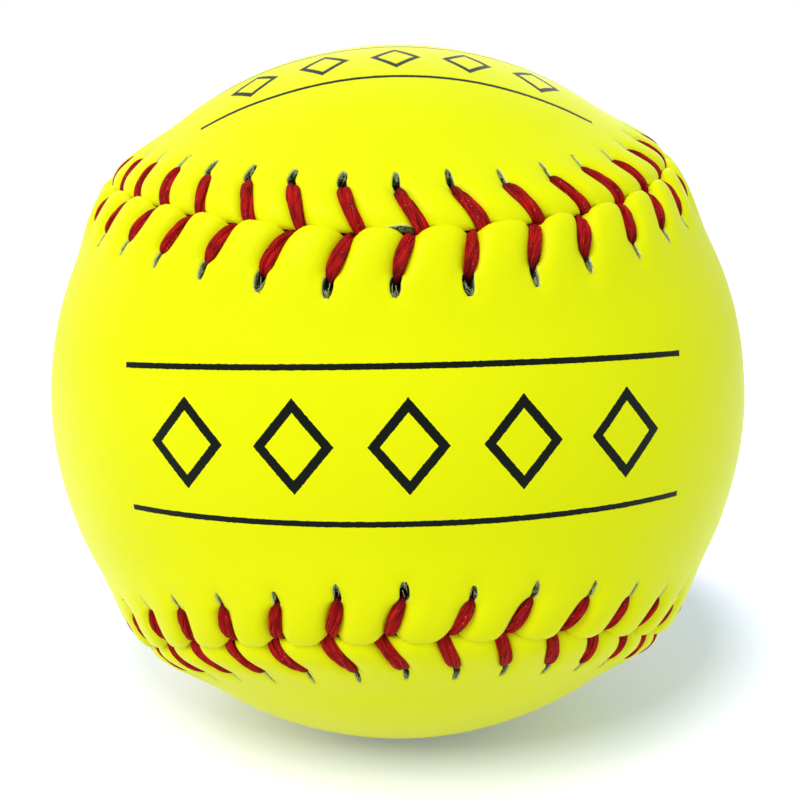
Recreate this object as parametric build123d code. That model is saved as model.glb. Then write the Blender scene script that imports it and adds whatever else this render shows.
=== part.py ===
from build123d import *
from build123d.topology import SkipClean
import bisect
import math
import os

# A 12 inch softball with a leather cover of two panels, sewn with two threads.
# Millimetres. The origin is the ball's centre, +Z is up and -Y is the front,
# where panel A is at its narrowest. Panel B is narrowest at the back.

# Ball and its layers
BALL_DIAMETER = 97.0
COVER_THICKNESS = 2.1
CEMENT_THICKNESS = 0.2
LATEX_THICKNESS = 0.3
WINDING_THICKNESS = 2.5

# Seam line
WAIST_WIDTH = 40.8          # panel width at its narrowest, along the surface
LOBE_FULLNESS = 0.028       # share of the fifth harmonic, which rounds the lobes
SEAM_GAP = 0.4
SEAM_RISE = 0.75            # leather crest above the field of the cover
MARGIN_WIDTH = 11.5         # raised leather on each side of the seam
MARGIN_LIP = 0.08           # step where the raised leather meets the field

# Two-needle stitching
STITCH_COUNT = 88           # stitches on each panel
STITCH_LEAD = -0.13         # first stitch from the middle of the upper front seam
SEWING_DRIFT = 0.6          # how far the pitch wanders over one trip round the seam
THREAD_DIAMETER = 1.4
THREAD_PROUD = 1.6          # top of a stitch above the field of the cover
THREAD_CLEARANCE = 0.1
CHANNEL_CLEARANCE = 0.25    # room over the thread that runs under the leather
CHANNEL_EDGE = 1.0          # loose leather outwards of the slits
HOLE_DISTANCE = 5.3         # thread hole from the seam line
SLIT_LENGTH = 0.7           # open slit outwards of the thread
PLUNGE_DISTANCE = 1.1       # where a stitch starts down into the seam
LEAN = 1.1                  # a stitch on panel A crosses the seam this far ahead of its hole
CROSS_GAP = 0.6             # between the two threads where they cross the seam
TAIL_SHARE = 0.42           # of the closing run under the leather, kept as each tail

# How finely the seam line is measured and drawn
SEAM_STEPS = 2880
SPANS = 88
SPAN_POINTS = 3
BEND_SHARE = 0.45           # of the shorter run, taken by each bend of a thread

# Worked-out sizes
RADIUS = BALL_DIAMETER / 2
COVER_INSIDE = RADIUS - COVER_THICKNESS
LATEX_RADIUS = COVER_INSIDE - CEMENT_THICKNESS
WINDING_RADIUS = LATEX_RADIUS - LATEX_THICKNESS
CORE_RADIUS = WINDING_RADIUS - WINDING_THICKNESS
THREAD_RADIUS = THREAD_DIAMETER / 2
STITCH_RADIUS = RADIUS + THREAD_PROUD - THREAD_RADIUS
UNDER_RADIUS = LATEX_RADIUS + CHANNEL_CLEARANCE / 2 + THREAD_RADIUS
CHANNEL_ROOF = LATEX_RADIUS + CHANNEL_CLEARANCE + THREAD_DIAMETER
SLIT_END = HOLE_DISTANCE + THREAD_RADIUS + THREAD_CLEARANCE + SLIT_LENGTH
CHANNEL_WIDTH = SLIT_END + CHANNEL_EDGE
CROSS_SPACING = THREAD_DIAMETER + CROSS_GAP
CUT_MARGIN = 1.0            # how far a cutting shape stands past what it cuts


def seam_direction(turn):
    """Unit vector to the seam line; turn 0 is the middle of the upper front seam."""
    slope = math.tan(WAIST_WIDTH / 2 / RADIUS)
    root = math.sqrt(slope ** 2 + 1 + LOBE_FULLNESS) - slope
    third = root ** 2
    x = math.sin(turn) + third * math.sin(3 * turn) + LOBE_FULLNESS * math.sin(5 * turn)
    y = -2 * root * math.cos(2 * turn)
    z = math.cos(turn) - third * math.cos(3 * turn) + LOBE_FULLNESS * math.cos(5 * turn)
    return Vector(x, y, z).normalized()


def measure_seam():
    """Length along the seam line at each of SEAM_STEPS equal steps of turn."""
    lengths = [0.0]
    last = seam_direction(0)
    for step in range(1, SEAM_STEPS + 1):
        here = seam_direction(2 * math.pi * step / SEAM_STEPS)
        lengths.append(lengths[-1] + (here - last).length * RADIUS)
        last = here
    return lengths


SEAM_LENGTHS = measure_seam()
SEAM_LENGTH = SEAM_LENGTHS[-1]
PITCH = SEAM_LENGTH / STITCH_COUNT


def turn_at(along):
    """The turn at a length along the seam line."""
    laps, rest = divmod(along, SEAM_LENGTH)
    step = min(bisect.bisect_right(SEAM_LENGTHS, rest), SEAM_STEPS) - 1
    share = (rest - SEAM_LENGTHS[step]) / (SEAM_LENGTHS[step + 1] - SEAM_LENGTHS[step])
    return 2 * math.pi * (laps + (step + share) / SEAM_STEPS)


def seam_point(turn, aside, radius):
    """A point beside the seam line: aside is along the surface, + towards panel A."""
    step = 2 * math.pi / SEAM_STEPS
    out = seam_direction(turn)
    ahead = seam_direction(turn + step) - seam_direction(turn - step)
    sideways = ahead.cross(out).normalized()
    angle = aside / RADIUS
    return (out * math.cos(angle) + sideways * math.sin(angle)) * radius


def seam_curve(span, aside, radius):
    """One span of a curve that follows the seam line."""
    first = 2 * math.pi * span / SPANS
    last = 2 * math.pi * (span + 1) / SPANS
    step = (last - first) / (SPAN_POINTS - 1)
    points = [seam_point(first + step * k, aside, radius) for k in range(SPAN_POINTS)]
    nudge = step / SPAN_POINTS
    tangents = []
    for turn in (first, last):
        change = seam_point(turn + nudge, aside, radius) - seam_point(turn - nudge, aside, radius)
        tangents.append(change.normalized())
    return Spline(points, tangents=tangents).edge()


def seam_ring(profile):
    """Closed solid that carries a profile of (aside, radius) corners round the seam."""
    faces = []
    for span in range(SPANS):
        curves = [seam_curve(span, aside, radius) for aside, radius in profile]
        for curve, following in zip(curves, curves[1:] + curves[:1]):
            faces.append(Face.make_surface_from_curves(curve, following))
    return Solid(Shell(faces))


def ball_shell(outside, inside):
    """Hollow ball in eight faces inside and out, which keeps its measured volume exact."""
    octant = Solid.make_sphere(outside, angle1=0, angle3=90)
    octant = octant.cut(Solid.make_sphere(inside, angle1=0, angle3=90))
    quarters = [octant.rotate(Axis.Z, 90 * k) for k in range(4)]
    below = [quarter.mirror(Plane.XY) for quarter in quarters]
    return quarters[0].fuse(*quarters[1:], *below).solid()


def rounded_path(points):
    """Straight runs joined by tangent arcs, each as large as its runs leave room for."""
    edges = []
    radii = []
    start = points[0]
    for before, corner, after in zip(points, points[1:], points[2:]):
        back = before - corner
        ahead = after - corner
        reach = BEND_SHARE * min(back.length, ahead.length)
        half_turn = math.radians(180 - back.get_angle(ahead)) / 2
        bend = reach / math.tan(half_turn)
        inward = (back.normalized() + ahead.normalized()).normalized()
        middle = corner + inward * bend * (1 / math.cos(half_turn) - 1)
        arc_start = corner + back.normalized() * reach
        arc_end = corner + ahead.normalized() * reach
        edges.append(Edge.make_line(start, arc_start))
        edges.append(Edge.make_three_point_arc(arc_start, middle, arc_end))
        radii.append(bend)
        start = arc_end
    edges.append(Edge.make_line(start, points[-1]))
    return Wire(edges), radii


def stitch_along(stitch):
    """Length along the seam line of a stitch's two holes."""
    wander = SEWING_DRIFT * math.cos(2 * math.pi * stitch / STITCH_COUNT)
    return stitch * PITCH + STITCH_LEAD - wander


def stitch_corners(stitch, side):
    """Corners of one stitch, from under its own panel to under the other; +1 is panel A."""
    along = stitch_along(stitch)
    lean = LEAN if side > 0 else LEAN + CROSS_SPACING
    hole = seam_point(turn_at(along), side * HOLE_DISTANCE, 1.0)
    crossing = seam_point(turn_at(along + lean), 0, 1.0)
    share = PLUNGE_DISTANCE / HOLE_DISTANCE
    start = (crossing + (hole - crossing) * share).normalized()
    end = (crossing - (hole - crossing) * share).normalized()
    return [hole * UNDER_RADIUS, hole * STITCH_RADIUS, start * STITCH_RADIUS, end * UNDER_RADIUS]


def thread_route(first_side):
    """Corners of one thread, which changes panels at each stitch."""
    points = []
    for stitch in range(STITCH_COUNT):
        points += stitch_corners(stitch, first_side if stitch % 2 == 0 else -first_side)
    closing_run = points[0] - points[-1]
    head = points[0] - closing_run * TAIL_SHARE
    tail = points[-1] + closing_run * TAIL_SHARE
    return [head] + points + [tail]


def tube(path, diameter):
    section = Plane(path @ 0, z_dir=path % 0) * Circle(diameter / 2)
    return sweep(section, path).solid()


def stitch_cut(stitch, side):
    """Hole with its slit, groove and seam notch that one stitch needs in the leather."""
    hole_low, hole_top, start, end = stitch_corners(stitch, side)
    out = ((hole_top + start) / 2).normalized()
    forward = start - hole_top
    plane = Plane(out * CHANNEL_ROOF, x_dir=forward, z_dir=forward.cross(out))
    rise = BEND_SHARE * (hole_top - hole_low).length
    fall = BEND_SHARE * min(forward.length, (end - start).length)
    hole = plane.to_local_coords(hole_top)
    start = plane.to_local_coords(start)
    end = plane.to_local_coords(end)
    reach = THREAD_RADIUS + THREAD_CLEARANCE
    plunge = (end - start).normalized()
    foot = start + plunge * fall + Vector(plunge.Y, -plunge.X) * reach
    low = -CUT_MARGIN
    top = hole.Y + reach + CUT_MARGIN
    outline = [
        (hole.X - reach - SLIT_LENGTH, low),
        (hole.X - reach - SLIT_LENGTH, top),
        (end.X + reach, top),
        (end.X + reach, low),
        (foot.X, low),
        (foot.X, foot.Y),
        (start.X - fall, start.Y - reach),
        (hole.X + rise, hole.Y - reach),
        (hole.X + reach, hole.Y - rise),
        (hole.X + reach, low),
    ]
    return extrude(plane * Polygon(*outline, align=None), reach, both=True).solid()


def seam_band(outside, inside, width):
    """Part of a hollow ball that lies along the seam, to a width on each side of it."""
    walls = seam_ring([
        (-width, inside - CUT_MARGIN),
        (width, inside - CUT_MARGIN),
        (width, outside + CUT_MARGIN),
        (-width, outside + CUT_MARGIN),
    ])
    return ball_shell(outside, inside).intersect(walls).solid()


def channel():
    """The space under both seam margins that the threads run through."""
    return seam_band(CHANNEL_ROOF, LATEX_RADIUS, CHANNEL_WIDTH)


def raised_margin():
    """Leather along the seam, level over the stitches and sloping down to the field."""
    slope = (SEAM_RISE - MARGIN_LIP) / (MARGIN_WIDTH - CHANNEL_WIDTH)
    brow = RADIUS + MARGIN_LIP + slope * MARGIN_WIDTH
    base = (RADIUS + CHANNEL_ROOF) / 2
    roof = seam_ring([
        (-MARGIN_WIDTH, base),
        (MARGIN_WIDTH, base),
        (MARGIN_WIDTH, RADIUS + MARGIN_LIP),
        (0, brow),
        (-MARGIN_WIDTH, RADIUS + MARGIN_LIP),
    ])
    return ball_shell(RADIUS + SEAM_RISE, COVER_INSIDE).intersect(roof).solid()


def sewn_cover():
    """Both panels, cut apart at the seam and cut for the stitches.

    Where the two notches of a stitch run together, the crumb of leather between them falls out.
    """
    kerf = seam_band(RADIUS + SEAM_RISE + CUT_MARGIN, LATEX_RADIUS, SEAM_GAP / 2)
    cuts = [stitch_cut(stitch, side) for stitch in range(STITCH_COUNT) for side in (1, -1)]
    cover = ball_shell(RADIUS, COVER_INSIDE).fuse(raised_margin())
    cover = cover.cut(channel()).cut(kerf).cut(*cuts)
    panels = cover.solids().sort_by(SortBy.VOLUME)[-2:]
    return sorted(panels, key=lambda panel: panel.center().Y)


def cement_films():
    film = ball_shell(COVER_INSIDE, LATEX_RADIUS).cut(channel())
    return sorted(film.solids(), key=lambda panel: panel.center().Y)


def build():
    nodes = {}
    nodes["core"] = Solid.make_sphere(CORE_RADIUS, angle1=-90)
    nodes["yarn_winding"] = ball_shell(WINDING_RADIUS, CORE_RADIUS)
    nodes["latex_coat"] = ball_shell(LATEX_RADIUS, WINDING_RADIUS)
    nodes["cement_film_a"], nodes["cement_film_b"] = cement_films()
    for name, first_side in (("seam_thread_1", 1), ("seam_thread_2", -1)):
        path, radii = rounded_path(thread_route(first_side))
        nodes[name] = tube(path, THREAD_DIAMETER)
        expected = math.pi * THREAD_RADIUS ** 2 * path.length
        print(f"{name}: {path.length:.0f} mm long, bends {min(radii):.2f} to {max(radii):.2f} mm,",
              f"volume over section times length {nodes[name].volume / expected:.4f}")
    nodes["cover_panel_a"], nodes["cover_panel_b"] = sewn_cover()
    return nodes


if __name__ == "__main__":
    os.makedirs("parts", exist_ok=True)
    with SkipClean():
        nodes = build()
    for name, solid in nodes.items():
        solid.label = name
        export_step(solid, f"parts/{name}.step")
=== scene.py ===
import bisect
import math
import random

import bmesh
import bpy
from mathutils import Matrix, Vector, noise


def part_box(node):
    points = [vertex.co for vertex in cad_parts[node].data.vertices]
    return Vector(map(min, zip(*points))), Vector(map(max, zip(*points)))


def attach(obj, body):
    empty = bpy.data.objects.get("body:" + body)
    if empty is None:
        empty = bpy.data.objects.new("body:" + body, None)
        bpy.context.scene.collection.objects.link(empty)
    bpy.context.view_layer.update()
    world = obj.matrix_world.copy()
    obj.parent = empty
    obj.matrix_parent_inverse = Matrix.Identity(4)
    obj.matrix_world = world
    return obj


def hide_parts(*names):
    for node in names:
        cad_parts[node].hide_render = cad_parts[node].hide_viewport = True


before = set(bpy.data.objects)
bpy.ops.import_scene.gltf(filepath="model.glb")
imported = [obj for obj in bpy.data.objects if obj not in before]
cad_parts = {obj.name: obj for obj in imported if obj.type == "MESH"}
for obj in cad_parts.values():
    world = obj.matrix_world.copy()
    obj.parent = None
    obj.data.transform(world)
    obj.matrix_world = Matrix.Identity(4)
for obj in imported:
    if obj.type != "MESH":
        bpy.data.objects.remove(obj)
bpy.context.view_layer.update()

# A 12 inch softball in fluorescent yellow leather, sewn with two waxed red threads.
# Metres, in the frame of the solids: the origin is the ball's centre and -Y is the front.
MM = 0.001

# The ball and its seam line; the cover's inside is the outside of the cement
BALL_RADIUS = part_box("cover_panel_a")[1][0]
COVER_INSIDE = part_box("cement_film_a")[1][0]
WAIST_WIDTH = 40.8 * MM
LOBE_FULLNESS = 0.028
STITCH_COUNT = 88
SEAM_STEPS = 60 * STITCH_COUNT
# Hand sewing: at one place the line strays a little towards panel A
SEAM_WANDER = 2.6 * MM
WANDER_PLACE = -50 * MM
WANDER_WIDTH = 15 * MM

# Stitching; +1 is panel A, whose edge lies on top, and -1 is panel B
STITCH_LEAD = -0.13 * MM
SEWING_DRIFT = 0.6 * MM
HOLE_DISTANCE = {1: 4.95 * MM, -1: 5.35 * MM}
LEAN = {1: 1.55 * MM, -1: 2.75 * MM}
SLIT_BEYOND = {1: 1.55 * MM, -1: 1.7 * MM}
SLIT_BEHIND = 0.9 * MM
# Slits gape most at the four waists, where the cover is stretched hardest, and less on the
# lower front seam than on the upper one
SLIT_GAPE = (0.46 * MM, 0.62 * MM)
TIGHT_GAPE = 0.4
WAIST_STITCHES = 3.2
WAIST_LEAD = {1: 0.5, -1: 2.0}
LOWER_TIGHTENING = 0.3
# How much one stitch differs from the next
STITCH_SEED = 12
ALONG_SPREAD = 0.1 * MM
LEAN_SPREAD = 0.15 * MM
HOLE_SPREAD = 0.2 * MM
BEYOND_SPREAD = 0.25 * MM
PULL_RANGE = (0.85, 1.15)
BOW_SPREAD = 0.25 * MM
FRAYED_STITCHES = (0, 17, 30, 61, 78)

# Leather along the seam
MARGIN_RISE = 1.5 * MM
MARGIN_WIDTH = 11.5 * MM
PUCKER = {1: 1.0 * MM, -1: 0.85 * MM}
PUCKER_FADE = (2.0 * MM, 8.5 * MM)
FOLD_AHEAD = {1: 7, -1: 6}
FOLD_BEHIND = {1: 5, -1: 6}
THREAD_BED = 0.4 * MM
BED_WIDTH = 0.75 * MM
BED_FADE = 1.0 * MM
# A slit is deepest under the thread and runs out to a shallow end
SLIT_DEPTH = 1.7 * MM
SLIT_SHALLOW = 0.4 * MM
SLOPE_START = 0.3 * MM
SLOPE_SHARE = 0.75
SLIT_WALL = 0.06 * MM
SLIT_RIM = 0.12 * MM
RIM_AWAY = 0.15 * MM
RIM_WIDTH = 0.25 * MM
UNEVENNESS = 0.05 * MM
UNEVEN_SIZE = 9 * MM
# Where panel B's edge is frayed: a thin wedge just behind a stitch
FRAY_LIFT = 0.15 * MM
FRAY_REACH = 0.55 * MM
FRAY_DEPTH = 0.35 * MM
FRAY_START = (-4.2 * MM, -2.6 * MM)
FRAY_END = (-0.6 * MM, -0.3 * MM)
FRAY_EDGE = 0.25 * MM
# Loose fibre ends in the slits: where they root, how they lie and how long they are
FIBRE_SEED = 5
FIBRES_PER_SLIT = 7
FIBRE_REACH = (0.25, 0.95)
FIBRE_SPREAD = 0.8
BESIDE_SLIT = 0.3 * MM
FIBRE_RISE = (-0.1, 0.5)
FIBRE_SWAY = 0.6
FIBRE_DEPTH = (0.05 * MM, 0.4 * MM)
FIBRE_LENGTH = (0.45 * MM, 0.95 * MM)
FIBRE_RADIUS = (0.05 * MM, 0.02 * MM)
# The edge between the stitches: rounded knuckles, pulled in at each stitch and rolled under
KNUCKLE_SKEW = 0.88
LIP_FADE = 3.5 * MM
LIP_REACH = {1: -0.5 * MM, -1: 0.05 * MM}
LIP_PULL = {1: 0.8 * MM, -1: 0.3 * MM}
ROLL_DROP = {1: 0.7 * MM, -1: 1.25 * MM}
ROLL_WIDTH = {1: 1.5 * MM, -1: 2.6 * MM}

# Where the leather is cut into columns, from each stitch, and rows, from its edge
COLUMN_OFFSETS = [x * MM for x in (
    -2.95, -2.0, -1.4, -0.95, -0.7, -0.45, -0.35, -0.15,
    0.0, 0.15, 0.35, 0.45, 0.7, 0.95, 1.4, 2.0)]
# The columns that follow the two walls of a slit, and how far from each they stand
SLIT_COLUMNS = {5: 0.05 * MM, 6: -0.05 * MM, 10: -0.05 * MM, 11: 0.05 * MM}
LEAST_HALF = 0.25 * MM
LIP_ROWS = [(x * MM, y * MM) for x, y in (
    (0.55, -1.6), (0.42, -1.2), (0.22, -0.7), (0.05, -0.25))]
TOP_ROWS = [x * MM for x in (
    0.0, 0.12, 0.3, 0.5, 0.75, 1.0, 1.3, 1.6, 2.0, 2.4, 2.8, 3.2, 3.6, 3.95, 4.2, 4.45, 4.7,
    4.9, 5.1, 5.3, 5.5, 5.7, 5.9, 6.05, 6.2, 6.35, 6.5, 6.65, 6.8, 6.95, 7.1, 7.25, 7.5, 7.9, 8.5,
    9.2, 10.0, 10.9, 11.9, 12.9)]
# The smooth field and the flesh side start further in, with fewer columns
FIELD_EDGE = 14.2 * MM
FIELD_GROUP = 4
UNDER_EDGE = 9.0 * MM
UNDER_GROUP = 8
# Half of each lobe's end takes one part in DOME_END_SHARE of the field's outline
DOME_END_SHARE = 26
DOME_SMOOTHING = 30

# Thread: a leg's centre line from its slit to the seam, as (distance from the seam, height over
# the ball), and how full it is there: panel A's legs are drawn thin, panel B's stay full
STITCH_LINE = [(x * MM, y * MM) for x, y in (
    (4.1, -1.45), (4.5, -0.9), (4.6, -0.25), (4.25, 0.28), (3.5, 0.55), (2.6, 0.66), (1.7, 0.66),
    (0.9, 0.5), (0.2, -0.05), (-0.6, -0.95), (-1.6, -1.45))]
LEG_FULLNESS = {1: (0.52, 0.52, 0.6, 0.8, 0.96, 1.0, 0.94, 0.84, 0.7, 0.62, 0.6),
                -1: (0.8, 0.8, 0.86, 0.96, 1.04, 1.08, 1.08, 1.04, 0.94, 0.78, 0.6)}
STITCH_SPAN = 5.0 * MM
PLY_RADIUS = 0.43 * MM
PLY_OFFSET = 0.385 * MM
PLY_TWIST = 20.0 * MM
PLY_COUNT = 3
PLY_SIDES = 6
FLATTENING = 0.2
# Its finish: the way along a thread and round a ply, and the size of a fibre on them, drawn
# coarser than spun cotton so that it shows
THREAD_LENGTH = 1275 * MM
PLY_ROUND = 2.6 * MM
THREAD_FIBRE = (2.5 * MM, 0.15 * MM)

WELD = 0.002 * MM

# Printed bands: half length and half height of the front one and of the one above it
FRONT_BAND = (27.5 * MM, 7.6 * MM)
TOP_BAND = (21 * MM, 6.5 * MM)
TOP_BAND_TURN = math.radians(60)
# Diamonds: half width as a share of their step, half height as a share of the band's, and the
# middle and half width of their line as shares of their size
BAND_DIAMONDS = 5
DIAMOND_WIDTH = 0.36
DIAMOND_HEIGHT = 0.62
DIAMOND_LINE = (0.86, 0.15)
DIAMOND_RAGGED = 0.04
RULE_HALF = 0.3 * MM
RULE_BEYOND = 1.5 * MM
RULE_RAGGED = 0.12 * MM
RAGGED_SIZE = 0.35 * MM

# Colour sockets of a Mix node
COLOUR_A, COLOUR_B, COLOUR_RESULT = 6, 7, 2

# Lamps as (name, place, size, watts, colour): soft key from the upper left, weak fill from the
# right and weak lamp behind
LAMPS = (("key", (-0.5, -0.6, 0.75), 0.7, 7.4, "#FFFAEE"),
         ("fill", (0.7, -0.5, 0.3), 0.8, 1.0, "#DCFFE4"),
         ("back", (0.2, 0.95, 0.5), 0.8, 2.2, "#FAFFF4"))
SKY_STRENGTH = 0.5
# The table glows white from GLOW_END on; inside GLOW_START its glow drops to SHADOW_GLOW, a painted
# shadow round its centre over the lamps' own shadow
TABLE_HALF = 3.0
PAINTED_SHADOW_CENTRE = (0.005, 0.04, -BALL_RADIUS)
GLOW_START = 0.055
GLOW_END = 0.078
SHADOW_GLOW = 0.2

# Camera: the turn from straight in front, and the focal length and shift in pixels of the picture
CAMERA_TURN = 0.1111
CAMERA_AXIS = Vector((0.1071, -0.0209, 0.0206))
CAMERA_DISTANCE = 2.5858 * BALL_RADIUS
PICTURE = 800
FOCAL_LENGTH = 827.46
PICTURE_SHIFT = (2, -8.5)
SENSOR = 36.0


def seam_direction(turn):
    """Unit vector to the seam line; turn 0 is the middle of the upper front seam."""
    slope = math.tan(WAIST_WIDTH / 2 / BALL_RADIUS)
    root = math.sqrt(slope ** 2 + 1 + LOBE_FULLNESS) - slope
    third = root ** 2
    x = math.sin(turn) + third * math.sin(3 * turn) + LOBE_FULLNESS * math.sin(5 * turn)
    y = -2 * root * math.cos(2 * turn)
    z = math.cos(turn) - third * math.cos(3 * turn) + LOBE_FULLNESS * math.cos(5 * turn)
    return Vector((x, y, z)).normalized()


def measured_seam():
    """Length of the seam line, and its outward and sideways directions at equal steps along it."""
    fine = 4 * SEAM_STEPS
    step = 2 * math.pi / fine
    lengths = [0.0]
    last = seam_direction(0)
    for k in range(1, fine + 1):
        here = seam_direction(k * step)
        lengths.append(lengths[-1] + (here - last).length * BALL_RADIUS)
        last = here
    directions = []
    for k in range(SEAM_STEPS):
        place = lengths[-1] * k / SEAM_STEPS
        turn = step * (bisect.bisect_right(lengths, place) - 0.5)
        out = seam_direction(turn)
        ahead = seam_direction(turn + step) - seam_direction(turn - step)
        directions.append((out, ahead.cross(out).normalized()))
    return lengths[-1], directions


SEAM_LENGTH, SEAM_DIRECTIONS = measured_seam()
PITCH = SEAM_LENGTH / STITCH_COUNT


def seam_point(along, aside, radius):
    """A point beside the seam line: aside is along the surface, + towards panel A."""
    place = along / SEAM_LENGTH * SEAM_STEPS
    step = math.floor(place)
    out, sideways = SEAM_DIRECTIONS[step % SEAM_STEPS]
    next_out, next_sideways = SEAM_DIRECTIONS[(step + 1) % SEAM_STEPS]
    out = out.lerp(next_out, place - step).normalized()
    sideways = sideways.lerp(next_sideways, place - step).normalized()
    stray = (along - WANDER_PLACE + SEAM_LENGTH / 2) % SEAM_LENGTH - SEAM_LENGTH / 2
    angle = (aside + SEAM_WANDER * math.exp(-(stray / WANDER_WIDTH) ** 2)) / BALL_RADIUS
    return (out * math.cos(angle) + sideways * math.sin(angle)) * radius


def ease(low, high, value):
    """Smooth step from 0 at low to 1 at high."""
    share = min(max((value - low) / (high - low), 0.0), 1.0)
    return share * share * (3 - 2 * share)


class Stitch:
    """One leg of a stitch: where its slit is, how far it leans and how hard it was pulled."""

    def __init__(self, number, side, chance):
        drift = SEWING_DRIFT * math.cos(2 * math.pi * number / STITCH_COUNT)
        self.along = number * PITCH + STITCH_LEAD - drift + chance.gauss(0, ALONG_SPREAD)
        self.lean = LEAN[side] + chance.gauss(0, LEAN_SPREAD)
        self.hole = HOLE_DISTANCE[side] + chance.uniform(-HOLE_SPREAD, HOLE_SPREAD)
        self.beyond = SLIT_BEYOND[side] + chance.uniform(-BEYOND_SPREAD, BEYOND_SPREAD)
        quarter = STITCH_COUNT / 4
        waist = (number + WAIST_LEAD[side] + quarter / 2) % quarter - quarter / 2
        stretch = TIGHT_GAPE + (1 - TIGHT_GAPE) * math.exp(-(waist / WAIST_STITCHES) ** 2)
        stretch *= 1 - LOWER_TIGHTENING * math.sin(math.pi * number / STITCH_COUNT) ** 2
        self.gape = chance.uniform(*SLIT_GAPE) * stretch
        self.frayed = side < 0 and number in FRAYED_STITCHES
        self.pull = chance.uniform(*PULL_RANGE)
        self.bow = chance.uniform(-BOW_SPREAD, BOW_SPREAD)


CHANCE = random.Random(STITCH_SEED)
STITCHES = {side: [Stitch(k, side, CHANCE) for k in range(STITCH_COUNT)] for side in (1, -1)}


def leg_shift(stitch, distance):
    """How far ahead of its hole a leg lies, at a distance from the seam."""
    share = max(1 - distance / stitch.hole, 0.0)
    return stitch.lean * share + stitch.bow * math.sin(math.pi * min(share, 1.0))


def slit_half(stitch, distance):
    """Half the width of a stitch's slit, at a distance from the seam."""
    reach = (distance - stitch.hole) / (stitch.beyond if distance > stitch.hole else SLIT_BEHIND)
    return stitch.gape * math.sqrt(max(1 - reach ** 4, 0))


def leather_height(stitch, side, offset, distance, from_edge):
    """Height of the leather over the ball, how raw it is, and how deep in a slit."""
    swell = MARGIN_RISE * math.cos(math.pi / 2 * min(max(distance, 0) / MARGIN_WIDTH, 1)) ** 2
    steepness = FOLD_AHEAD[side] if offset > 0 else FOLD_BEHIND[side]
    valley = math.cos(math.pi * offset / PITCH) ** steepness
    near = 1 - ease(*PUCKER_FADE, distance)
    height = swell - PUCKER[side] * stitch.pull * valley * near
    bed = math.exp(-(offset / BED_WIDTH) ** 2)
    bed *= 1 - ease(stitch.hole - BED_FADE, stitch.hole, distance)
    height -= THREAD_BED * bed
    half = slit_half(stitch, distance)
    opening = 0.0
    if half > 0:
        opening = 1 - ease(half - SLIT_WALL, half + SLIT_WALL, abs(offset))
        height += SLIT_RIM * math.exp(-((abs(offset) - half - RIM_AWAY) / RIM_WIDTH) ** 2)
    shallow = ease(stitch.hole - SLOPE_START, stitch.hole + SLOPE_SHARE * stitch.beyond, distance)
    depth = (SLIT_DEPTH + (SLIT_SHALLOW - SLIT_DEPTH) * shallow) * opening
    height -= depth
    curl = 1 - min(max(from_edge, 0) / ROLL_WIDTH[side], 1)
    height -= ROLL_DROP[side] * (1 - math.sqrt(1 - curl * curl))
    raw = opening
    if stitch.frayed:
        reach = FRAY_REACH * ease(*FRAY_START, offset) * (1 - ease(*FRAY_END, offset))
        torn = ease(0, FRAY_EDGE, reach - from_edge)
        height += FRAY_LIFT * torn
        raw = max(raw, torn)
        depth = max(depth, FRAY_DEPTH * torn)
    return height, raw, depth


def leather_place(side, column, row):
    """Where one corner of the leather goes, how raw it is, and how deep in a slit."""
    per_stitch = len(COLUMN_OFFSETS)
    stitch = STITCHES[side][column // per_stitch]
    if row == 0:
        group = column // UNDER_GROUP + 0.5
        along = STITCH_LEAD + PITCH * (group * UNDER_GROUP / per_stitch - 0.5)
        # The flesh side is given the full slit depth, which paints it dark as shade
        return seam_point(along, side * UNDER_EDGE, COVER_INSIDE), 1.0, SLIT_DEPTH
    row -= 1
    if row >= len(LIP_ROWS) + len(TOP_ROWS):
        group = column // FIELD_GROUP + 0.5
        along = STITCH_LEAD + PITCH * (group * FIELD_GROUP / per_stitch - 0.5)
        return seam_point(along, side * FIELD_EDGE, BALL_RADIUS), 0.0, 0.0
    column %= per_stitch
    offset = COLUMN_OFFSETS[column]
    trip = (offset / PITCH) % 1.0
    lip = LIP_REACH[side] + LIP_PULL[side] * (1 - math.sin(math.pi * trip ** KNUCKLE_SKEW))
    inward, drop, from_edge = 0.0, 0.0, 0.0
    if row < len(LIP_ROWS):
        inward, drop = LIP_ROWS[row]
    else:
        from_edge = TOP_ROWS[row - len(LIP_ROWS)]
    distance = from_edge + lip * (1 - ease(0, LIP_FADE, from_edge))
    if column in SLIT_COLUMNS:
        half = max(slit_half(stitch, distance), LEAST_HALF)
        offset = math.copysign(half + SLIT_COLUMNS[column], offset)
    height, raw, depth = leather_height(stitch, side, offset, distance, from_edge)
    # The rolled-under edge is cut fibre; it is given the full slit depth so that it is painted dark
    # as shade under the edge
    if row < len(LIP_ROWS):
        raw, depth = 1.0, SLIT_DEPTH
    along = stitch.along + offset + leg_shift(stitch, distance)
    return seam_point(along, side * (distance + inward), BALL_RADIUS + height + drop), raw, depth


def finished(name, bm):
    """Turns a bmesh into a smooth-shaded object of the scene."""
    for face in bm.faces:
        face.smooth = True
    mesh = bpy.data.meshes.new(name)
    bm.to_mesh(mesh)
    bm.free()
    piece = bpy.data.objects.new(name, mesh)
    bpy.context.scene.collection.objects.link(piece)
    return piece


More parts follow.
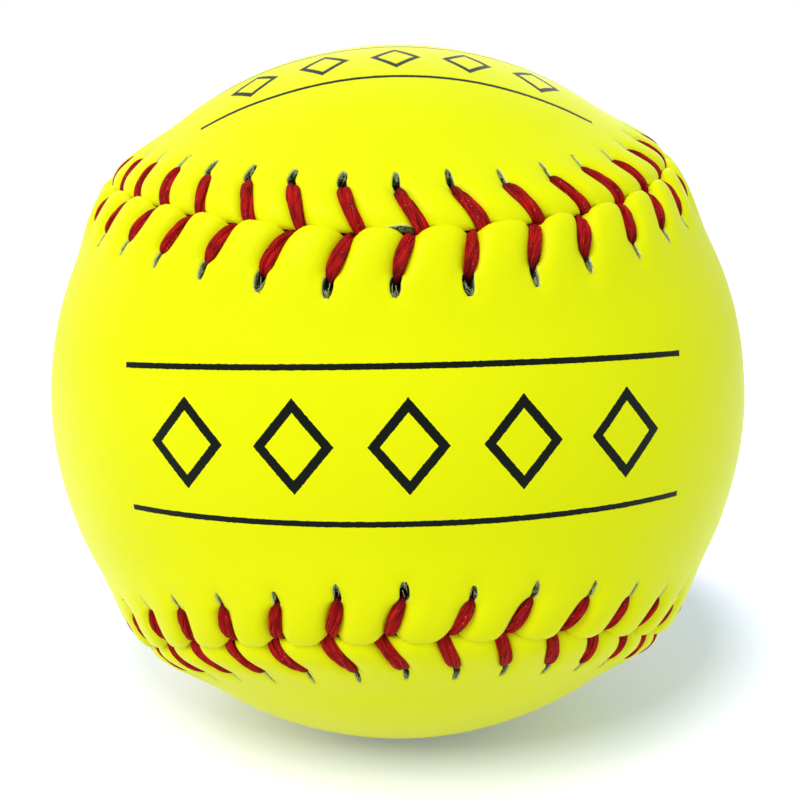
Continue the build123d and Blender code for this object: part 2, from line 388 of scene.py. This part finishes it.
def slit_fibres(name):
    """Loose ends of leather fibre that stand in the open part of each slit."""
    chance = random.Random(FIBRE_SEED)
    bm = bmesh.new()
    for side in (1, -1):
        for stitch in STITCHES[side]:
            for _ in range(FIBRES_PER_SLIT):
                distance = stitch.hole + stitch.beyond * chance.uniform(*FIBRE_REACH)
                half = slit_half(stitch, distance)
                offset = chance.uniform(-FIBRE_SPREAD, FIBRE_SPREAD) * half
                height, _, _ = leather_height(stitch, side, half + BESIDE_SLIT, distance, distance)
                radius = BALL_RADIUS + height - chance.uniform(*FIBRE_DEPTH)
                root = seam_point(stitch.along + offset, side * distance, radius)
                out = root.normalized()
                further = seam_point(stitch.along, side * (distance + MM), BALL_RADIUS)
                lengthways = further.normalized() - out
                lie = lengthways.normalized() * chance.choice((-1, 1))
                lie += out * chance.uniform(*FIBRE_RISE)
                sideways = lengthways.cross(out).normalized()
                lie += sideways * chance.uniform(-FIBRE_SWAY, FIBRE_SWAY)
                turn = lie.to_track_quat("Z", "X").to_matrix().to_4x4()
                bmesh.ops.create_cone(
                    bm, cap_ends=True, segments=4, radius1=FIBRE_RADIUS[0], radius2=FIBRE_RADIUS[1],
                    depth=chance.uniform(*FIBRE_LENGTH), matrix=Matrix.Translation(root) @ turn)
    return finished(name, bm)


def in_order(edges):
    """The edges of one closed outline, one after another."""
    ordered = [edges[0]]
    corner = edges[0].verts[1]
    while len(ordered) < len(edges):
        following = [e for e in corner.link_edges if e.is_boundary and e is not ordered[-1]]
        ordered.append(following[0])
        corner = following[0].other_vert(corner)
    return ordered


def fill_dome(bm, edges, side, radius):
    """Fills a panel's inner outline with a grid of leather on the ball, lobe to lobe."""
    axis = 2 if side > 0 else 0
    edges = in_order(edges)
    count = len(edges)
    half_end = count // DOME_END_SHARE
    ends = [abs(edge.verts[0].co[axis] + edge.verts[1].co[axis]) for edge in edges]
    first = ends.index(min(ends))
    edges = edges[first:] + edges[:first]
    rails = edges[half_end:count // 2 - half_end] + edges[count // 2 + half_end:count - half_end]
    before = set(bm.verts)
    bmesh.ops.grid_fill(bm, edges=rails, use_smooth=True)
    inner = [vert for vert in bm.verts if vert not in before]
    for _ in range(DOME_SMOOTHING):
        bmesh.ops.smooth_vert(bm, verts=inner, factor=0.5, use_axis_x=True, use_axis_y=True,
                              use_axis_z=True)
        for vert in inner:
            vert.co = vert.co.normalized() * radius


def leather_panel(name, side):
    """One cover panel: puckered margin with slits and rolled edge, smooth field and flesh side."""
    bm = bmesh.new()
    raw_layer = bm.verts.layers.float.new("raw")
    depth_layer = bm.verts.layers.float.new("depth")
    columns = STITCH_COUNT * len(COLUMN_OFFSETS)
    rows = len(LIP_ROWS) + len(TOP_ROWS) + 1
    bmesh.ops.create_grid(bm, x_segments=columns, y_segments=rows, size=1)
    for vert in bm.verts:
        column = round((vert.co.x + 1) / 2 * columns) % columns
        row = round((vert.co.y + 1) / 2 * rows)
        vert.co, vert[raw_layer], vert[depth_layer] = leather_place(side, column, row)
    bmesh.ops.remove_doubles(bm, verts=bm.verts, dist=WELD)
    rim = [edge for edge in bm.edges if edge.is_boundary]
    level = (BALL_RADIUS + COVER_INSIDE) / 2
    fill_dome(bm, [edge for edge in rim if edge.verts[0].co.length > level], side, BALL_RADIUS)
    fill_dome(bm, [edge for edge in rim if edge.verts[0].co.length < level], side, COVER_INSIDE)
    for vert in bm.verts:
        vert.co += vert.co.normalized() * UNEVENNESS * noise.noise(vert.co / UNEVEN_SIZE)
    bmesh.ops.recalc_face_normals(bm, faces=bm.faces)
    return finished(name, bm)


def thread_line(first_side):
    """Points along one thread, which changes panels at each stitch, and its fullness over them."""
    curve = bpy.data.curves.new("thread_line", "CURVE")
    curve.dimensions = "3D"
    points = []
    fullness = []
    for number in range(STITCH_COUNT):
        side = first_side if number % 2 == 0 else -first_side
        stitch = STITCHES[side][number]
        fullness.extend(LEG_FULLNESS[side])
        for distance, height in STITCH_LINE:
            distance *= stitch.hole / STITCH_SPAN
            along = stitch.along + leg_shift(stitch, distance)
            points.append(seam_point(along, side * distance, BALL_RADIUS + height))
    spline = curve.splines.new("NURBS")
    spline.points.add(len(points) - 1)
    for point, place in zip(spline.points, points):
        point.co = (*place, 1.0)
    spline.order_u = 3
    spline.use_endpoint_u = True
    spline.resolution_u = 3
    holder = bpy.data.objects.new("thread_line", curve)
    mesh = bpy.data.meshes.new_from_object(holder)
    line = [vert.co.copy() for vert in mesh.vertices]
    bpy.data.objects.remove(holder)
    bpy.data.curves.remove(curve)
    bpy.data.meshes.remove(mesh)
    return line, fullness


def thread_rings(line, fullness):
    """Middle, two cross directions, outward direction, twist and fullness at each point."""
    rings = []
    cross = None
    run = 0.0
    for k, middle in enumerate(line):
        before = line[max(k - 1, 0)]
        after = line[min(k + 1, len(line) - 1)]
        ahead = (after - before).normalized()
        cross = cross or ahead.orthogonal()
        cross = (cross - ahead * cross.dot(ahead)).normalized()
        run += (middle - before).length
        place = k / (len(line) - 1) * (len(fullness) - 1)
        low = min(math.floor(place), len(fullness) - 2)
        full = fullness[low] + (fullness[low + 1] - fullness[low]) * (place - low)
        rings.append((middle, cross, ahead.cross(cross), middle.normalized(),
                      2 * math.pi * run / PLY_TWIST, full))
    return rings


def sewing_thread(name, first_side):
    """One waxed thread of three twisted plies, pressed a little flat on the leather."""
    rings = thread_rings(*thread_line(first_side))
    count = len(rings) - 1
    bm = bmesh.new()
    bm.loops.layers.uv.new("UVMap")
    for ply in range(PLY_COUNT):
        grid = bmesh.ops.create_grid(bm, x_segments=count, y_segments=PLY_SIDES, size=1,
                                     calc_uvs=True)
        for vert in grid["verts"]:
            ring = round((vert.co.x + 1) / 2 * count)
            turn = 2 * math.pi * round((vert.co.y + 1) / 2 * PLY_SIDES) / PLY_SIDES
            middle, cross, other, out, twist, fullness = rings[ring]
            twist += 2 * math.pi * ply / PLY_COUNT
            radius = 0.0 if ring in (0, count) else PLY_RADIUS
            away = cross * (math.cos(twist) * PLY_OFFSET + math.cos(twist + turn) * radius)
            away += other * (math.sin(twist) * PLY_OFFSET + math.sin(twist + turn) * radius)
            away -= out * away.dot(out) * FLATTENING
            vert.co = middle + away * fullness
    bmesh.ops.remove_doubles(bm, verts=bm.verts, dist=WELD)
    bmesh.ops.recalc_face_normals(bm, faces=bm.faces)
    return finished(name, bm)


def colour(code):
    """Linear colour of an sRGB hex code."""
    shares = [int(code[k:k + 2], 16) / 255 for k in (1, 3, 5)]
    linear = [s / 12.92 if s <= 0.04045 else ((s + 0.055) / 1.055) ** 2.4 for s in shares]
    return (*linear, 1.0)


def add(tree, kind, inputs=None, **settings):
    """Adds a node with its settings; an input is a value or another node's output."""
    node = tree.nodes.new(kind)
    for name, value in settings.items():
        setattr(node, name, value)
    for name, value in (inputs or {}).items():
        if isinstance(value, bpy.types.NodeSocket):
            tree.links.new(value, node.inputs[name])
        else:
            node.inputs[name].default_value = value
    return node


def new_material(name):
    """An empty node material: its tree, shader and the piece's own coordinates."""
    material = bpy.data.materials.new(name)
    material.use_nodes = True
    tree = material.node_tree
    shader = tree.nodes["Principled BSDF"]
    place = add(tree, "ShaderNodeTexCoord").outputs["Object"]
    return material, tree, shader, place


def printed_band(tree, place, half_length, half_height):
    """Where ink lies: a row of open diamonds between two thin rules, on the side that faces -Y."""
    step = 2 * half_length / BAND_DIAMONDS
    ragged = add(tree, "ShaderNodeTexNoise", {
        "Vector": place, "Scale": 1 / RAGGED_SIZE, "Detail": 1.0}).outputs["Fac"]
    axes = add(tree, "ShaderNodeSeparateXYZ", {"Vector": place}).outputs

    # Diamonds, one to a step, drawn as outlines
    cell = add(tree, "ShaderNodeMath", {0: axes["X"], 1: step / 2, 2: -step / 2}, operation="WRAP")
    corner = add(tree, "ShaderNodeCombineXYZ", {"X": cell.outputs[0], "Y": axes["Z"]})
    corner = add(tree, "ShaderNodeVectorMath", {0: corner.outputs[0]}, operation="ABSOLUTE")
    size = add(tree, "ShaderNodeVectorMath", {
        0: corner.outputs[0],
        1: (1 / (DIAMOND_WIDTH * step), 1 / (DIAMOND_HEIGHT * half_height), 0),
    }, operation="DOT_PRODUCT")
    size = add(tree, "ShaderNodeMath", {0: ragged, 1: DIAMOND_RAGGED, 2: size.outputs["Value"]},
               operation="MULTIPLY_ADD")
    line = add(tree, "ShaderNodeMath", {
        0: size.outputs[0], 1: DIAMOND_LINE[0], 2: DIAMOND_LINE[1]}, operation="COMPARE")
    within = add(tree, "ShaderNodeMath", {0: axes["X"], 1: 0.0, 2: half_length},
                 operation="COMPARE")
    diamonds = add(tree, "ShaderNodeMath", {0: line.outputs[0], 1: within.outputs[0]},
                   operation="MULTIPLY")

    # Rules along the top and the bottom
    level = add(tree, "ShaderNodeMath", {0: axes["Z"]}, operation="ABSOLUTE")
    level = add(tree, "ShaderNodeMath", {0: ragged, 1: RULE_RAGGED, 2: level.outputs[0]},
                operation="MULTIPLY_ADD")
    line = add(tree, "ShaderNodeMath", {0: level.outputs[0], 1: half_height, 2: RULE_HALF},
               operation="COMPARE")
    within = add(tree, "ShaderNodeMath", {0: axes["X"], 1: 0.0, 2: half_length + RULE_BEYOND},
                 operation="COMPARE")
    rules = add(tree, "ShaderNodeMath", {0: line.outputs[0], 1: within.outputs[0]},
                operation="MULTIPLY")

    ink = add(tree, "ShaderNodeMath", {0: diamonds.outputs[0], 1: rules.outputs[0]},
              operation="MAXIMUM")
    facing = add(tree, "ShaderNodeMath", {0: axes["Y"], 1: 0.0}, operation="LESS_THAN")
    return add(tree, "ShaderNodeMath", {0: ink.outputs[0], 1: facing.outputs[0]},
               operation="MULTIPLY").outputs[0]


def printed_leather():
    """Split leather with a fluorescent yellow polyurethane coat, pad printed in black."""
    material, tree, shader, place = new_material("coated_leather_fluorescent_yellow")
    blotch = add(tree, "ShaderNodeTexNoise", {
        "Vector": place, "Scale": 1 / (14 * MM), "Detail": 3.0})
    coat = add(tree, "ShaderNodeMix", {
        "Factor": blotch.outputs["Fac"], COLOUR_A: colour("#F0F300"), COLOUR_B: colour("#F6F804"),
    }, data_type="RGBA").outputs[COLOUR_RESULT]

    # Flesh side and cut fibre: matted, grey green with pale ends, darkened with depth as painted
    # shade; along the cut coat a pale band, partly a painted highlight
    fibre = add(tree, "ShaderNodeTexNoise", {
        "Vector": place, "Scale": 1 / (0.2 * MM), "Detail": 4.0, "Roughness": 0.7})
    raw = add(tree, "ShaderNodeAttribute", attribute_name="raw").outputs["Fac"]
    depth = add(tree, "ShaderNodeAttribute", attribute_name="depth").outputs["Fac"]
    # Painted shade: the fibre is drawn darker the deeper it lies in a slit or under the rolled edge
    painted_slit_shade = add(tree, "ShaderNodeMapRange", {
        "Value": depth, "From Min": 0.1 * MM, "From Max": 1.0 * MM,
        "To Min": 0.04, "To Max": -0.12})
    shade = add(tree, "ShaderNodeMath", {0: fibre.outputs["Fac"], 1: painted_slit_shade.outputs["Result"]},
                operation="ADD")
    flesh = add(tree, "ShaderNodeValToRGB", {"Fac": shade.outputs[0]})
    flesh.color_ramp.elements[0].position = 0.42
    flesh.color_ramp.elements[0].color = colour("#222A10")
    flesh.color_ramp.elements[1].position = 0.7
    flesh.color_ramp.elements[1].color = colour("#BCCB86")
    # A paler band at the top of each slit wall: the cut edge of the coat, partly a painted
    # highlight on the rim
    rim = add(tree, "ShaderNodeMapRange", {
        "Value": depth, "From Min": 0.02 * MM, "From Max": 0.06 * MM})
    cut_edge_and_painted_highlight = add(tree, "ShaderNodeMix", {
        "Factor": rim.outputs["Result"], COLOUR_A: coat, COLOUR_B: colour("#E6EC9A"),
    }, data_type="RGBA").outputs[COLOUR_RESULT]
    torn = add(tree, "ShaderNodeMapRange", {
        "Value": depth, "From Min": 0.1 * MM, "From Max": 0.3 * MM})
    leather = add(tree, "ShaderNodeMix", {
        "Factor": torn.outputs["Result"], COLOUR_A: cut_edge_and_painted_highlight, COLOUR_B: flesh.outputs["Color"],
    }, data_type="RGBA").outputs[COLOUR_RESULT]

    top_place = add(tree, "ShaderNodeMapping", {"Vector": place, "Rotation": (TOP_BAND_TURN, 0, 0)})
    front = printed_band(tree, place, *FRONT_BAND)
    top = printed_band(tree, top_place.outputs["Vector"], *TOP_BAND)
    ink = add(tree, "ShaderNodeMath", {0: front, 1: top}, operation="MAXIMUM").outputs[0]
    leather = add(tree, "ShaderNodeMix", {
        "Factor": ink, COLOUR_A: leather, COLOUR_B: colour("#0A1208"),
    }, data_type="RGBA").outputs[COLOUR_RESULT]
    tree.links.new(leather, shader.inputs["Base Color"])

    # Satin coat with a very fine haircell grain, drawn at 0.4 mm so that it shows; fibre is dull
    grain = add(tree, "ShaderNodeTexVoronoi", {"Vector": place, "Scale": 1 / (0.4 * MM)})
    bump = add(tree, "ShaderNodeBump", {
        "Height": grain.outputs["Distance"], "Strength": 0.12, "Distance": 0.05 * MM})
    matted = add(tree, "ShaderNodeBump", {
        "Height": fibre.outputs["Fac"], "Strength": raw, "Distance": 0.3 * MM,
        "Normal": bump.outputs["Normal"]})
    tree.links.new(matted.outputs["Normal"], shader.inputs["Normal"])
    dull = add(tree, "ShaderNodeMapRange", {"Value": raw, "To Min": 0.42, "To Max": 0.95})
    tree.links.new(dull.outputs["Result"], shader.inputs["Roughness"])
    shader.inputs["Specular IOR Level"].default_value = 0.07
    shader.inputs["Sheen Weight"].default_value = 0.03
    shader.inputs["Sheen Roughness"].default_value = 0.4
    shader.inputs["Sheen Tint"].default_value = colour("#F6F8A0")
    return material


def waxed_thread():
    """Spun cotton thread, dyed red and waxed: dull, with fine fibres along it and pale lint."""
    material, tree, shader, place = new_material("waxed_cotton_thread_red")
    along = add(tree, "ShaderNodeTexCoord").outputs["UV"]
    drawn = add(tree, "ShaderNodeMapping", {
        "Vector": along,
        "Scale": (THREAD_LENGTH / THREAD_FIBRE[0], PLY_ROUND / THREAD_FIBRE[1], 1)})
    fibre = add(tree, "ShaderNodeTexNoise", {
        "Vector": drawn.outputs["Vector"], "Scale": 1.0, "Detail": 3.0, "Roughness": 0.6})
    dye = add(tree, "ShaderNodeValToRGB", {"Fac": fibre.outputs["Fac"]})
    dye.color_ramp.elements[0].position = 0.36
    dye.color_ramp.elements[0].color = colour("#560206")
    dye.color_ramp.elements[1].position = 0.64
    dye.color_ramp.elements[1].color = colour("#DA1A18")
    lint = add(tree, "ShaderNodeTexNoise", {
        "Vector": place, "Scale": 1 / (0.25 * MM), "Detail": 2.0})
    specks = add(tree, "ShaderNodeMapRange", {
        "Value": lint.outputs["Fac"], "From Min": 0.66, "From Max": 0.74, "To Max": 0.45})
    base = add(tree, "ShaderNodeMix", {
        "Factor": specks.outputs["Result"],
        COLOUR_A: dye.outputs["Color"], COLOUR_B: colour("#D8A898"),
    }, data_type="RGBA").outputs[COLOUR_RESULT]
    # Painted shade: dark over the first quarter of each stitch, which goes down its hole
    stitch = add(tree, "ShaderNodeSeparateXYZ", {"Vector": along}).outputs["X"]
    stitch = add(tree, "ShaderNodeMath", {0: stitch, 1: STITCH_COUNT - 1 / len(STITCH_LINE)},
                 operation="MULTIPLY")
    stitch = add(tree, "ShaderNodeMath", {0: stitch.outputs[0]}, operation="FRACT")
    painted_hole_shade = add(tree, "ShaderNodeMapRange", {
        "Value": stitch.outputs[0], "From Min": 0.18, "From Max": 0.36,
        "To Min": 0.8, "To Max": 0.0})
    base = add(tree, "ShaderNodeMix", {
        "Factor": painted_hole_shade.outputs["Result"], COLOUR_A: base, COLOUR_B: colour("#260204"),
    }, data_type="RGBA").outputs[COLOUR_RESULT]
    tree.links.new(base, shader.inputs["Base Color"])
    bump = add(tree, "ShaderNodeBump", {
        "Height": fibre.outputs["Fac"], "Strength": 0.9, "Distance": 0.18 * MM})
    tree.links.new(bump.outputs["Normal"], shader.inputs["Normal"])
    shader.inputs["Roughness"].default_value = 0.7
    shader.inputs["Specular IOR Level"].default_value = 0.1
    return material


def cut_fibre():
    """Undyed leather fibre at a cut: pale, dull and matted."""
    material, tree, shader, place = new_material("cut_leather_fibre")
    tuft = add(tree, "ShaderNodeTexNoise", {"Vector": place, "Scale": 1 / (1.5 * MM)})
    base = add(tree, "ShaderNodeMix", {
        "Factor": tuft.outputs["Fac"], COLOUR_A: colour("#66743E"), COLOUR_B: colour("#D2DCA8"),
    }, data_type="RGBA").outputs[COLOUR_RESULT]
    tree.links.new(base, shader.inputs["Base Color"])
    shader.inputs["Roughness"].default_value = 0.9
    shader.inputs["Specular IOR Level"].default_value = 0.2
    return material


def hidden_finish(name, dark, light, size, depth, roughness):
    """Finish of a layer inside the ball: two shades and a relief of one grain size."""
    material, tree, shader, place = new_material(name)
    grain = add(tree, "ShaderNodeTexNoise", {"Vector": place, "Scale": 1 / size, "Detail": 4.0})
    base = add(tree, "ShaderNodeMix", {
        "Factor": grain.outputs["Fac"], COLOUR_A: colour(dark), COLOUR_B: colour(light),
    }, data_type="RGBA").outputs[COLOUR_RESULT]
    tree.links.new(base, shader.inputs["Base Color"])
    bump = add(tree, "ShaderNodeBump", {"Height": grain.outputs["Fac"], "Distance": depth})
    tree.links.new(bump.outputs["Normal"], shader.inputs["Normal"])
    shader.inputs["Roughness"].default_value = roughness
    return material


def direct_view(tree):
    """1 where the camera looks straight at a surface, or sees it in gloss or through glass."""
    ray = add(tree, "ShaderNodeLightPath").outputs
    either = add(tree, "ShaderNodeMath", {0: ray["Is Camera Ray"], 1: ray["Is Glossy Ray"]},
                 operation="MAXIMUM")
    return add(tree, "ShaderNodeMath", {0: either.outputs[0], 1: ray["Is Transmission Ray"]},
               operation="MAXIMUM").outputs[0]


def white_table():
    """Matt white table that glows and fades into the white background away from the ball, with a
    painted shadow disc near it.
    """
    material, tree, shader, place = new_material("white_table")
    shader.inputs["Base Color"].default_value = colour("#E9EAF4")
    shader.inputs["Roughness"].default_value = 0.9
    shader.inputs["Specular IOR Level"].default_value = 0.1
    # Painted shadow: the glow is dimmed in a disc round this centre, where the ball's shadow falls
    away = add(tree, "ShaderNodeVectorMath", {0: place, 1: PAINTED_SHADOW_CENTRE},
               operation="DISTANCE").outputs["Value"]
    fade = add(tree, "ShaderNodeMapRange", {
        "Value": away, "From Min": GLOW_START, "From Max": GLOW_END,
        "To Min": SHADOW_GLOW, "To Max": 1.0})
    glow = add(tree, "ShaderNodeMath", {0: direct_view(tree), 1: fade.outputs["Result"]},
               operation="MULTIPLY")
    # Painted tint: the glow is cool near the ball, against the yellow that the ball throws on the
    # table
    tint = add(tree, "ShaderNodeMix", {
        "Factor": fade.outputs["Result"], COLOUR_A: colour("#D6DCFF"), COLOUR_B: colour("#F4F5FB"),
    }, data_type="RGBA").outputs[COLOUR_RESULT]
    tree.links.new(tint, shader.inputs["Emission Color"])
    tree.links.new(glow.outputs[0], shader.inputs["Emission Strength"])
    return material


def floor_and_light():
    """White table, three soft lamps and a pale sky that the camera sees as white."""
    scene = bpy.context.scene
    bm = bmesh.new()
    bmesh.ops.create_grid(bm, x_segments=1, y_segments=1, size=TABLE_HALF)
    for vert in bm.verts:
        vert.co.z = -BALL_RADIUS
    floor = finished("floor", bm)
    floor.data.materials.append(white_table())
    for name, spot, size, watts, tint in LAMPS:
        lamp = bpy.data.lights.new(name, "AREA")
        lamp.size = size
        lamp.energy = watts
        lamp.color = colour(tint)[:3]
        holder = bpy.data.objects.new(name, lamp)
        holder.location = spot
        holder.rotation_euler = (-Vector(spot)).to_track_quat("-Z", "Y").to_euler()
        scene.collection.objects.link(holder)
    world = bpy.data.worlds.new("studio")
    world.use_nodes = True
    tree = world.node_tree
    seen = direct_view(tree)
    strength = add(tree, "ShaderNodeMix", {"Factor": seen, "A": SKY_STRENGTH, "B": 1.0})
    tint = add(tree, "ShaderNodeMix", {
        "Factor": seen, COLOUR_A: colour("#F0FDFF"), COLOUR_B: colour("#FFFFFF")}, data_type="RGBA")
    tree.links.new(strength.outputs[0], tree.nodes["Background"].inputs["Strength"])
    tree.links.new(tint.outputs[COLOUR_RESULT], tree.nodes["Background"].inputs["Color"])
    scene.world = world
    scene.view_settings.view_transform = "Standard"


def camera():
    """Close view from the front and a little above."""
    aim = Matrix.Rotation(CAMERA_TURN, 3, CAMERA_AXIS).transposed()
    lens = bpy.data.cameras.new("camera")
    lens.sensor_width = SENSOR
    lens.lens = FOCAL_LENGTH / PICTURE * SENSOR
    lens.shift_x, lens.shift_y = (shift / PICTURE for shift in PICTURE_SHIFT)
    lens.clip_start = 0.01
    holder = bpy.data.objects.new("camera", lens)
    right, ahead, up = (aim @ Vector(axis) for axis in ((1, 0, 0), (0, 1, 0), (0, 0, 1)))
    holder.matrix_world = Matrix((right, up, -ahead)).transposed().to_4x4()
    holder.location = ahead * -CAMERA_DISTANCE
    bpy.context.scene.collection.objects.link(holder)
    bpy.context.scene.camera = holder


LEATHER = printed_leather()
THREAD = waxed_thread()

for node, side in (("cover_panel_a", 1), ("cover_panel_b", -1)):
    panel = leather_panel(node.replace("cover", "leather"), side)
    panel.data.materials.append(LEATHER)
    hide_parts(node)
    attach(panel, "root")

fibres = slit_fibres("slit_fibres")
fibres.data.materials.append(cut_fibre())
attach(fibres, "root")

FOAM = hidden_finish("moulded_polyurethane_foam", "#C9C2AE", "#E2DCCB", 1.2 * MM, 0.2 * MM, 0.85)
YARN = hidden_finish("wound_cotton_yarn", "#A9A08C", "#DAD3C2", 0.5 * MM, 0.4 * MM, 0.9)
LATEX = hidden_finish("dipped_natural_latex", "#B79A5E", "#C9AF78", 6.0 * MM, 0.1 * MM, 0.35)
CEMENT = hidden_finish("rubber_cement", "#A98445", "#BF9C5C", 3.0 * MM, 0.1 * MM, 0.5)
for node, finish in (("core", FOAM), ("yarn_winding", YARN), ("latex_coat", LATEX),
                     ("cement_film_a", CEMENT), ("cement_film_b", CEMENT)):
    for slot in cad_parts[node].material_slots:
        slot.material = finish

for node, first_side in (("seam_thread_1", 1), ("seam_thread_2", -1)):
    thread = sewing_thread(node.replace("seam", "red"), first_side)
    thread.data.materials.append(THREAD)
    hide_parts(node)
    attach(thread, "root")

floor_and_light()
camera()
